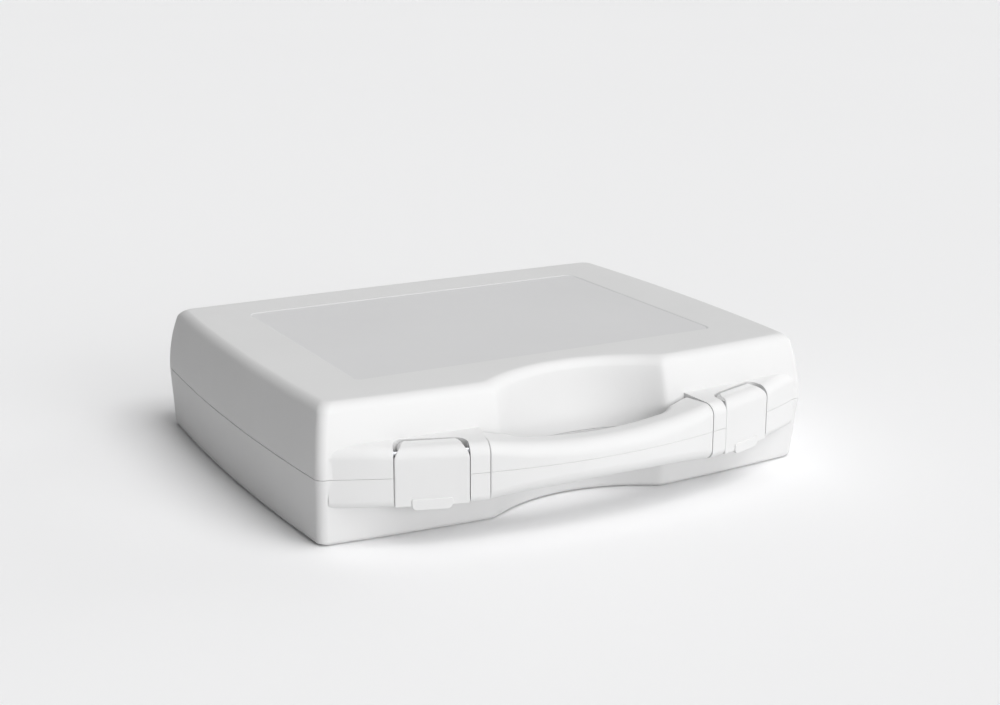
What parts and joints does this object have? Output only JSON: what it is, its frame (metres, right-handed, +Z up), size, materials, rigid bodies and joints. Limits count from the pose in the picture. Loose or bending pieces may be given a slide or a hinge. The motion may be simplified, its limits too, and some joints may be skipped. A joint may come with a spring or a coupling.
{
  "type": "carrying case",
  "caption": "Small white hard-plastic carrying case for a blood pressure kit: hinged lid, two snap latches, fixed bow handle on a bulging front band, foam inside.",
  "frame": {"origin": "on the floor under the middle of the closed case's bounding box", "axes": "+X along the hinge line, +Y from the handle to the back hinges, +Z up out of the lid"},
  "size_m": [0.2746, 0.2504, 0.0656],
  "materials": {
    "white_plastic": "fine-grained satin white polypropylene",
    "latch_plastic": "smoother satin white plastic",
    "steel": "drawn steel pins and zinc-plated screws",
    "foam": "dark grey open-cell foam"
  },
  "bodies": {
    "base": {"base_shell": "white_plastic", "handle_upper_shell": "white_plastic", "handle_lower_shell": "white_plastic", "handle_joining_screws": "steel", "handle_mounting_screws": "steel", "hinge_pin_left": "steel", "hinge_pin_right": "steel", "base_foam": "foam"},
    "lid": {"lid_shell": "white_plastic", "latch_pin_left": "steel", "latch_pin_right": "steel", "lid_foam": "foam"},
    "latch_left": {"latch_left": "latch_plastic"},
    "latch_right": {"latch_right": "latch_plastic"}
  },
  "joints": [
    {"name": "lid_hinge", "type": "hinge", "parent": "base", "child": "lid", "pos_m": [0, 0.12025, 0.0325], "axis": [-1, 0, 0], "range_deg": [0, 110]},
    {"name": "latch_left_pivot", "type": "hinge", "parent": "lid", "child": "latch_left", "pos_m": [-0.08465, -0.10753, 0.0426], "axis": [-0.9517, 0.3071, 0], "range_deg": [0, 90]},
    {"name": "latch_right_pivot", "type": "hinge", "parent": "lid", "child": "latch_right", "pos_m": [0.08465, -0.10753, 0.0426], "axis": [-0.9517, -0.3071, 0], "range_deg": [0, 90]}
  ]
}
